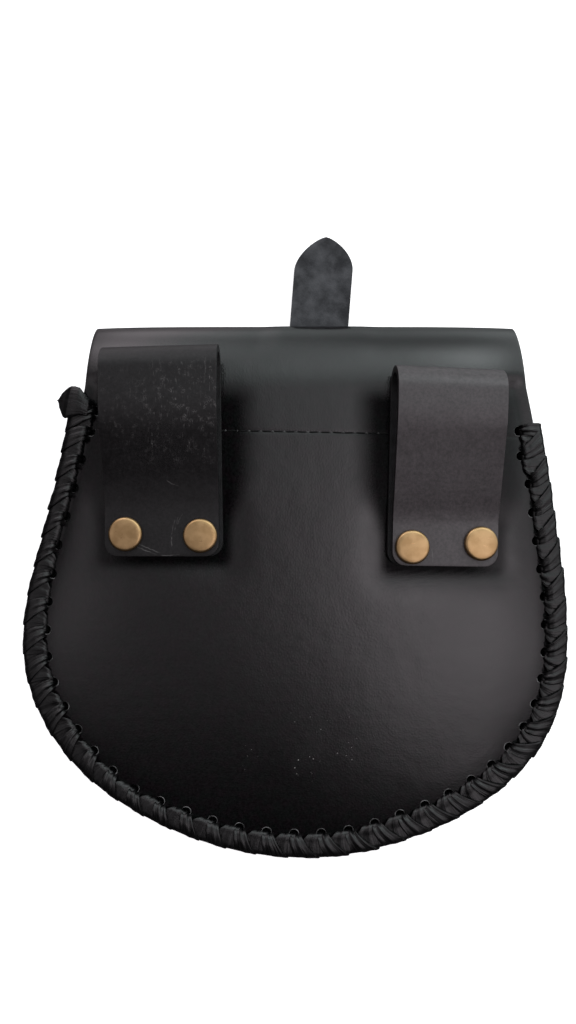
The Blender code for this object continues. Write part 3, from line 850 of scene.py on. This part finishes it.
# The rivets: four capped brass rivets, worn to a satin. The shank goes through both ends of a loop and
# the back, and is closed on a burr inside the pouch.
CAP_RADIUS = 0.00575
CAP_HEIGHT = 0.0017
CAP_PROFILE = (
    # shares of the cap's radius and height
    (0.97, 0.0), (1.00, 0.12), (1.00, 0.42), (0.985, 0.60), (0.95, 0.76), (0.90, 0.87),
    (0.84, 0.925), (0.70, 0.95), (0.50, 0.975), (0.25, 1.0), (0.03, 1.0),
)
BURR_RADIUS = 0.0045
BURR_HEIGHT = 0.0012
BURR_CLEARANCE = 0.0005
RIVET_STEPS = 56


def brass_finish():
    """Antique brass: satin, in slow darker patches, with a few bright rubs."""
    material, points = new_finish("antique_brass")
    patches = points.noise(260.0, detail=3.0)
    fine = points.noise(2600.0, detail=3.0, roughness=0.65)
    rubs = points.stretched((300.0, 1500.0, 300.0), 0.7).noise(1.0).rise(0.62, 0.72)
    tone = patches.rise(0.30, 0.72).mixed((0.33, 0.212, 0.100), (0.46, 0.305, 0.155))
    return set_finish(material, base_color=tone, metallic=1.0, roughness=0.29 + 0.14 * patches - 0.1 * rubs,
                      normal=fine.bump(0.35, 0.00004))


def turn_up(name, profile, steps):
    """A turned piece: a disc at the first radius, raised and widened ring by ring up the profile."""
    radius, height = profile[0]
    bpy.ops.mesh.primitive_circle_add(vertices=steps, radius=radius, fill_type="NGON")
    obj = bpy.context.object
    obj.name = obj.data.name = name
    obj.data.transform(Matrix.Translation((0, 0, height)))
    bpy.ops.object.mode_set(mode="EDIT")
    bpy.ops.mesh.select_mode(type="FACE")
    bpy.ops.mesh.select_all(action="SELECT")
    bpy.ops.mesh.flip_normals()
    for before, (after, up) in zip(profile, profile[1:]):
        bpy.ops.mesh.extrude_region_move(TRANSFORM_OT_translate={"value": (0, 0, up - before[1])})
        if after != before[0]:
            size = after / before[0]
            bpy.ops.transform.resize(value=(size, size, 1), center_override=(0, 0, up))
    bpy.ops.mesh.select_all(action="SELECT")
    bpy.ops.mesh.normals_make_consistent(inside=False)
    bpy.ops.object.mode_set(mode="OBJECT")
    return obj


brass = brass_finish()
under_cap = 2 * LOOP_LEATHER + 3 * TOUCH
burr_top = -PANEL_LEATHER - BURR_CLEARANCE
RIVET_PROFILE = (
    (BURR_RADIUS, burr_top - BURR_HEIGHT),
    (BURR_RADIUS, burr_top),
    (SHANK_RADIUS, burr_top),
    (SHANK_RADIUS, under_cap),
    *((share * CAP_RADIUS, under_cap + up * CAP_HEIGHT) for share, up in CAP_PROFILE),
)
for name, x, y in RIVETS:
    rivet = turn_up(f"capped_rivet_{name}", RIVET_PROFILE, RIVET_STEPS)
    rivet.data.transform(square_to_back(x, y))
    attach(rivet, (brass,), "brass", f"rivet_{name}", angle=35)

# The lacing: flat black lace wound over both edges and drawn through every hole twice, once on the
# way forward and once on the way back, so that its pulls cross on the edge.
LACE_THICKNESS = 0.0012
LACE_PROFILE = (
    # across from one edge of the lace to the other, up from its middle layer
    (0.0, 1.0), (0.2, 1.0), (0.4, 1.0), (0.6, 1.0), (0.8, 0.98), (0.94, 0.86), (1.0, 0.3),
    (0.98, -0.6), (0.6, -1.0), (0.0, -1.0), (-0.6, -1.0), (-0.98, -0.6), (-1.0, 0.3),
    (-0.94, 0.86), (-0.8, 0.98), (-0.6, 1.0), (-0.4, 1.0), (-0.2, 1.0), (0.0, 1.0),
)
PULL_STEPS = 44
CURVE_STEPS = 12  # from one point of a curve to the next
TURN_REACH = 0.00005  # how much further out a pull's middle lies than where it turns
LOOSE_END_STEPS = 40
LOOSE_END_CUP = 0.0005
LOOSE_END_CLOSING = 8  # its ends close over an eighth of its length
WELD = 0.000002
FOLDS_AT_TURN = 0.25  # share of a pull's lengthwise folds that is left where it turns
CREASE_SHIFT = 700  # so that no two pulls are creased alike
PULL_SLACK = 0.04  # in hole pitches
LEAD_SLACK = 0.03
OVER_LEANS = (0.0001, 0.0003)
OVER_FOLDS = (0.0002, 0.0004)
UNDER_FOLDS = (0.0001, 0.0003)
FOLD_PHASES = (-0.8, 0.8)
TURN_REACHES = (
    # length along the edge, how much further out the pulls turn there
    (-0.215, 0.0015), (-0.195, 0.0012), (-0.160, 0.0), (0.010, 0.0), (0.030, -0.0010),
    (0.080, -0.0010), (0.100, 0.0006), (0.150, 0.0006), (0.170, 0.0), (0.207, 0.0),
)
# Each pull's two edges, in hole pitches along the pouch's edge, from the hole out to where the pull
# turns to the front. Its front half repeats its back half, turned about.
OVER_EDGES = (
    # share of the way out, rear edge, leading edge
    (0.00, -0.11, 0.15),
    (0.12, -0.16, 0.27),
    (0.40, -0.13, 0.46),
    (0.70, -0.04, 0.69),
    (1.00, 0.05, 0.92),
)
UNDER_EDGES = (
    (0.00, -0.12, 0.10),
    (0.08, -0.50, 0.08),
    (0.20, -0.68, 0.08),
    (0.50, -0.80, 0.12),
    (1.00, -0.82, 0.16),
)
NARROW_PULLS = (
    # length along the edge, how much the upper pulls' leading edge falls back at the turn
    (-0.130, 0.0), (-0.110, 0.16), (-0.030, 0.16), (-0.010, 0.0),
)
LAST_EDGES = (
    (0.00, -0.10, 0.10),
    (0.12, -0.14, 0.20),
    (0.50, -0.24, 0.20),
    (1.00, -0.40, 0.15),
)
LOOSE_END = (
    # out from the edge, rear and leading edges along it, height
    (-0.0058, -0.2145, -0.2115, 0.0250),
    (-0.0052, -0.2155, -0.2110, 0.0275),
    (-0.0030, -0.2165, -0.2102, 0.0288),
    (-0.0008, -0.2180, -0.2102, 0.0291),
    (0.0010, -0.2196, -0.2094, 0.0291),
    (0.0028, -0.2198, -0.2088, 0.0288),
    (0.0043, -0.2196, -0.2082, 0.0283),
    (0.0056, -0.2190, -0.2088, 0.0270),
    (0.0072, -0.2180, -0.2104, 0.0246),
    (0.0088, -0.2166, -0.2122, 0.0226),
    (0.0103, -0.2148, -0.2138, 0.0212),
)


def lace_finish():
    """Flat black lace, glossy and creased along its length, its tone painted lighter on the creases' ridges
    and darker in the creases, as highlight and shade, in patches.
    """
    material, points = new_finish("flat_black_lace")
    laid = points.coordinates("UV")
    creases = laid.stretched((16.0, 1.5, 1.0)).noise(1.0, detail=3.0)
    fine = points.noise(1900.0)
    patches = points.noise(160.0)
    # painted highlight and shade: lighter on the creases' ridges, darker in the creases, varied in patches
    lighter = creases.rise(0.42, 0.70) * (0.4 + 0.6 * patches.rise(0.3, 0.7))
    tone = lighter.mixed((0.0010, 0.0010, 0.0011), (0.0075, 0.0075, 0.0080))
    return set_finish(material, base_color=tone, roughness=0.17 + 0.12 * patches + 0.1 * creases,
                      specular_ior_level=0.38, normal=(creases + 0.2 * fine).bump(0.7, 0.0004))


def curve_through(points, count):
    """Even steps along a smooth curve through these points."""
    points = [np.array(point, float) for point in points]
    padded = [2 * points[0] - points[1]] + points + [2 * points[-1] - points[-2]]
    fine = []
    for a, b, c, d in zip(padded, padded[1:], padded[2:], padded[3:]):
        for t in np.linspace(0, 1, CURVE_STEPS, endpoint=False):
            fine.append(0.5 * (2 * b + (c - a) * t + (2 * a - 5 * b + 4 * c - d) * t**2
                               + (3 * b - a - 3 * c + d) * t**3))
    fine.append(points[-1])
    fine = np.array(fine)
    lengths = np.concatenate(([0.0], np.cumsum(np.linalg.norm(np.diff(fine, axis=0), axis=1))))
    even = np.linspace(0, lengths[-1], count)
    return np.stack([np.interp(even, lengths, fine[:, axis]) for axis in range(fine.shape[1])], axis=1)


def over_path(reach, turn):
    """Middle of the upper pull, from the back's hole to the turn, as (out from the edge, over the back)."""
    return (
        (-reach + 0.0007, -0.0022), (-reach + 0.0008, -0.0008), (-reach + 0.0012, 0.0005),
        (-0.70 * reach, 0.0014), (-0.45 * reach, 0.0019), (-0.18 * reach, 0.0018),
        (0.0004 + 0.5 * turn, 0.0014), (0.0012 + 0.8 * turn, 0.0007), (0.0018 + turn, -0.0005),
        (0.0020 + turn, -0.0016),
    )


def under_path(reach, turn):
    """The same for the lower pull, which lies flat on the leather."""
    return (
        (-reach + 0.0005, -0.0022), (-reach + 0.0005, -0.0008), (-reach + 0.0007, 0.0000),
        (-reach + 0.0014, 0.0006), (-0.50 * reach, 0.00075), (-0.10 * reach, 0.00075),
        (0.0008 + 0.5 * turn, 0.0006), (0.0015 + 0.9 * turn, -0.0002), (0.0018 + turn, -0.0014),
    )


def pull(name, hole, path, edges, lean, folds, phase):
    """One turn of the lace, from a hole in the back, round the edges, to a hole in the front."""
    reach = read_off(HOLE_REACHES, hole)
    further = read_off(TURN_REACHES, hole)
    back_half = [(q, BACK_LEVEL + up) for q, up in path(reach, further)]
    front_half = [(q, 2 * EDGE_HEIGHT - z) for q, z in back_half]
    turn = (back_half[-1][0] + TURN_REACH, EDGE_HEIGHT)
    section = curve_through(back_half + [turn] + front_half[::-1], PULL_STEPS)
    ahead = np.gradient(section, axis=0)
    ahead /= np.linalg.norm(ahead, axis=1)[:, None]
    out = np.clip((section[:, 0] + reach) / (turn[0] + reach), 0.0, 1.0)
    shares, rear, lead = (np.array(column) for column in zip(*edges))
    rear_edge, lead_edge = np.interp(out, shares, rear), np.interp(out, shares, lead)
    on_front = np.arange(PULL_STEPS) >= PULL_STEPS / 2
    whole = between(round(rear[-1] + lead[-1]), rear[-1] + lead[-1], out)
    rear_edge, lead_edge = (np.where(on_front, whole - lead_edge, rear_edge),
                            np.where(on_front, whole - rear_edge, lead_edge))
    closing = np.ones(PULL_STEPS)
    closing[0] = closing[-1] = 0.0
    gathered = np.clip(1.0 + FOLDS_AT_TURN - out, FOLDS_AT_TURN, 1.0) * closing

    def place(around, step):
        row = round(step * (PULL_STEPS - 1))
        across, up = LACE_PROFILE[round(around * (len(LACE_PROFILE) - 1))]
        share = (across * closing[row] + 1) / 2
        length = hole + HOLE_PITCH * (rear_edge[row] + (lead_edge[row] - rear_edge[row]) * share)
        ridge = math.cos(2 * math.pi * across + phase) * (1 - across * across)
        off = up * LACE_THICKNESS / 2 + folds * ridge * gathered[row] + lean * across * out[row]
        off *= closing[row]
        q = section[row, 0] - ahead[row, 1] * off
        z = section[row, 1] + ahead[row, 0] * off
        x, y = on_edge(float(length), float(q))
        z += front_height(x, y) - FRONT_LEVEL if on_front[row] else back_height(x, y) - BACK_LEVEL
        return x, y, float(z)

    strip = sheet(name, len(LACE_PROFILE) - 1, PULL_STEPS - 1, place)
    for corner in strip.data.uv_layers.active.data:
        corner.uv.x += CREASE_SHIFT * hole
    return strip


def closed_strips(name, strips):
    """Joins strips, welds each one's seam and closes its ends."""
    obj = joined(name, strips)
    bpy.ops.object.mode_set(mode="EDIT")
    bpy.ops.mesh.select_all(action="SELECT")
    bpy.ops.mesh.remove_doubles(threshold=WELD)
    bpy.ops.mesh.normals_make_consistent(inside=False)
    bpy.ops.object.mode_set(mode="OBJECT")
    return obj


lace_random = random.Random(5)
over_strips, under_strips = [], []
for hole in HOLES:
    loose = lace_random.uniform
    slack = loose(-PULL_SLACK, PULL_SLACK)
    narrower = read_off(NARROW_PULLS, hole)
    over_edges = []
    for share, rear, lead in (LAST_EDGES if hole == HOLES[-1] else OVER_EDGES):
        lead_slack = loose(-LEAD_SLACK, LEAD_SLACK) + slack - narrower
        over_edges.append((share, rear + slack * share, lead + lead_slack * share))
    under_edges = [(share, rear + slack * share, lead) for share, rear, lead in UNDER_EDGES]
    over_strips.append(pull("over", hole, over_path, over_edges, loose(*OVER_LEANS),
                            loose(*OVER_FOLDS), loose(*FOLD_PHASES)))
    if hole > HOLES[0]:
        under_strips.append(pull("under", hole, under_path, under_edges, 0.0,
                                 loose(*UNDER_FOLDS), loose(*FOLD_PHASES)))


def loose_end_place(around, step):
    """The lace's first end: up through its hole, out over the edge and cut to a point."""
    across, up = LACE_PROFILE[round(around * (len(LACE_PROFILE) - 1))]
    row = step * (len(LOOSE_END) - 1)
    q, rear, lead, z = (np.interp(row, range(len(LOOSE_END)), column) for column in zip(*LOOSE_END))
    closing = min(1.0, LOOSE_END_CLOSING * step, LOOSE_END_CLOSING * (1 - step))
    length = rear + (lead - rear) * (across * closing + 1) / 2
    cupped = LOOSE_END_CUP * across * across
    return (*on_edge(float(length), float(q)), float(z + up * closing * LACE_THICKNESS / 2 - cupped))


over_strips.append(sheet("loose_end", len(LACE_PROFILE) - 1, LOOSE_END_STEPS, loose_end_place))
lace = lace_finish()
lace_over = closed_strips("lace_over", over_strips)
attach(lace_over, (lace,), "lace_leather", "edge_lacing")
lace_under = closed_strips("lace_under", under_strips)
attach(lace_under, (lace,), "lace_leather")

# The lips: round each lace hole the smooth leather of the back is pulled up by the lace into a small
# shiny rim, which is highest on the side away from the edge. Its pale grey finish is a painted glint.
LIP_RADIUS = 0.00013
LIP_RING = HOLE_RADIUS + 0.5 * LIP_RADIUS
LIP_WIDTHS = (0.3, 1.0)  # share of its width on the side towards the edge and away from it
LIP_HEIGHTS = (0.10, 0.50)
LIP_BALANCE = 0.25  # the larger, the further round the hole the high side goes
bpy.ops.mesh.primitive_torus_add(major_radius=LIP_RING, minor_radius=LIP_RADIUS,
                                 major_segments=ROUND_STEPS, minor_segments=10)
lip = bpy.context.object
for vertex in lip.data.vertices:
    away = math.hypot(vertex.co.x, vertex.co.y)
    inner_side = smooth(LIP_BALANCE - vertex.co.x / away)
    size = (LIP_RING + (away - LIP_RING) * between(*LIP_WIDTHS, inner_side)) / away
    vertex.co.x *= size
    vertex.co.y *= size
    vertex.co.z *= between(*LIP_HEIGHTS, inner_side)
lip_places = []
for hole, (x, y, _) in zip(HOLES, lace_punches):
    outward = edge_at(hole)[1]
    lip_places.append(square_to_back(x, y) @ Matrix.Rotation(math.atan2(outward.y, outward.x), 4, "Z"))
lips = copies_joined("lace_hole_lips", lip, lip_places)
# pale grey lips: painted glints round the lace holes
attach(lips, (painted_glint_finish("lace_hole_lip_painted_glint", 0.16),), "smooth_leather")

# The closing strap: sewn low on the front, up under the flap and out above the fold, with its matte
# flesh side showing.
STRAP_TIP_LENGTH = 0.0125
STRAP_TIP_POINT = 1.35  # the lower, the more pointed
STRAP_TIP_ROUNDNESS = 0.556
STRAP_GRID = (30, 110)
STRAP_FOOT_HEIGHT = 0.026
STRAP_SEAT = 0.013


def strap_place(across, along):
    across = 1 - across
    share = math.sin((across - 0.5) * math.pi)
    round_part = (1 - min(abs(share), 1.0) ** STRAP_TIP_POINT) ** STRAP_TIP_ROUNDNESS
    tip = STRAP_TIP_HEIGHT - STRAP_TIP_LENGTH * (1 - round_part)
    y = between(STRAP_FOOT_HEIGHT, tip, along)
    x = strap_middle(y) + share * STRAP_HALF_WIDTH
    lift_from = FLAP_END - TOUCH
    seated = smooth((lift_from - y) / (lift_from - STRAP_FOOT_HEIGHT - STRAP_SEAT))
    return x, y, between(STRAP_LEATHER, front_height(x, y) - TOUCH, seated) - STRAP_LEATHER


strap_flesh = flesh_side("mottled_flesh_side", (0.016, 0.017, 0.019), (0.092, 0.096, 0.102), 150.0)
strap = sheet("closing_strap_leather", *STRAP_GRID, strap_place)
thicken(strap, STRAP_LEATHER)
attach(strap, (grain, strap_flesh, edge_finish), "strap_leather", "closing_strap")

# The clasp: a plain turned disc of brass between the strap and the flap, which holds the strap to the
# flap and is hidden in use.
CLASP_STEPS = 40
CLASP_FOOT_ROUNDING = 0.0002
CLASP_TOP_ROUNDING = 0.0003
CLASP_PROFILE = (
    (0.92 * CLASP_RADIUS, 0.0),
    (1.00 * CLASP_RADIUS, CLASP_FOOT_ROUNDING),
    (1.00 * CLASP_RADIUS, CLASP_HEIGHT - CLASP_TOP_ROUNDING),
    (0.94 * CLASP_RADIUS, CLASP_HEIGHT),
    (0.05 * CLASP_RADIUS, CLASP_HEIGHT),
)
clasp = turn_up("press_clasp", CLASP_PROFILE, CLASP_STEPS)
clasp.data.transform(Matrix.Translation(on_table(strap_middle(CLASP_Y), CLASP_Y, STRAP_LEATHER + TOUCH)))
attach(clasp, (brass,), "brass", "hidden_clasp", angle=35)

# The table, the light and the camera: a plain white table under soft light, most of it from beyond the
# fold, seen from straight above.
CAMERA_PLACE = Vector((-0.00223, 0.00908, 0.324))
CAMERA_LENS = 30.13
TABLE_SIZE = 12.0
ROOM_GLOW = 0.03
LEAST_RISE = 0.05  # keeps the way straight down from dividing by nothing
BELL = 0.7071  # each light fades as a bell curve of its width and height
SOFT_LIGHTS = (
    # east and north of straight above (1 is the horizon), width, height, strength
    (0.241, 0.393, 0.125, 0.166, 3.18),
    (-0.286, 0.531, 0.201, 0.191, 2.20),
    (-0.287, 1.100, 0.193, 0.350, 1.50),
    (0.727, 0.359, 0.243, 0.350, 1.60),
    (0.080, -0.028, 0.037, 0.057, 1.37),
    (0.300, -0.098, 0.145, 0.086, 1.24),
    (0.018, 0.203, 0.049, 0.130, 1.17),
    (0.491, 1.100, 0.350, 0.350, 1.04),
    (0.179, -0.093, 0.069, 0.110, 1.00),
    (0.206, -0.254, 0.031, 0.031, 0.66),
    (-0.309, -0.049, 0.170, 0.117, 0.60),
    (0.110, -0.162, 0.030, 0.048, 0.42),
    (0.100, 2.100, 1.300, 0.600, 0.35),
)
bpy.ops.mesh.primitive_plane_add(size=TABLE_SIZE)
table = bpy.context.object
table.name = "table"
white, points = new_finish("plain_white_table")
marks = points.noise(3.0)
set_finish(white, base_color=marks.mixed((0.90, 0.90, 0.90), (0.92, 0.92, 0.92)), roughness=0.9,
           emission_color=(1.0, 1.0, 1.0, 1.0), emission_strength=0.7)
table.data.materials.append(white)
table.visible_glossy = False  # the leather mirrors the room and not this white table
scene = bpy.context.scene
scene.world = bpy.data.worlds.new("soft_room")
scene.world.use_nodes = True
tree = scene.world.node_tree
heading = Value(tree).coordinates("Generated")
rise = heading.part("Z") + 1.0
rise = rise.math("MAXIMUM", rise, LEAST_RISE)
to_east = rise.math("DIVIDE", heading.part("X"), rise)
to_north = rise.math("DIVIDE", heading.part("Y"), rise)
brightness = ROOM_GLOW
for east, north, width, height, strength in SOFT_LIGHTS:
    off_east, off_north = (to_east - east) * (BELL / width), (to_north - north) * (BELL / height)
    off = off_east * off_east + off_north * off_north
    brightness = brightness + strength * off.math("EXPONENT", 0.0 - off)
seen = heading.node("LightPath")  # 1 for what the camera sees: the backdrop is plain white, too
brightness = brightness + seen * (1.0 - brightness)
cooler = to_north.rise(-0.02, 0.14) * to_east.rise(-0.25, -0.05)
tint = seen.mixed(cooler.mixed((1.08, 1.0, 1.05), (0.93, 1.0, 1.01)), (1.0, 1.0, 1.0))
tree.links.new(brightness.socket, tree.nodes["Background"].inputs["Strength"])
tree.links.new(tint.socket, tree.nodes["Background"].inputs["Color"])
camera = bpy.data.cameras.new("camera")
camera.lens = CAMERA_LENS
camera.clip_start = 0.01
viewer = bpy.data.objects.new("camera", camera)
scene.collection.objects.link(viewer)
viewer.location = CAMERA_PLACE
scene.camera = viewer
scene.view_settings.view_transform = "Standard"
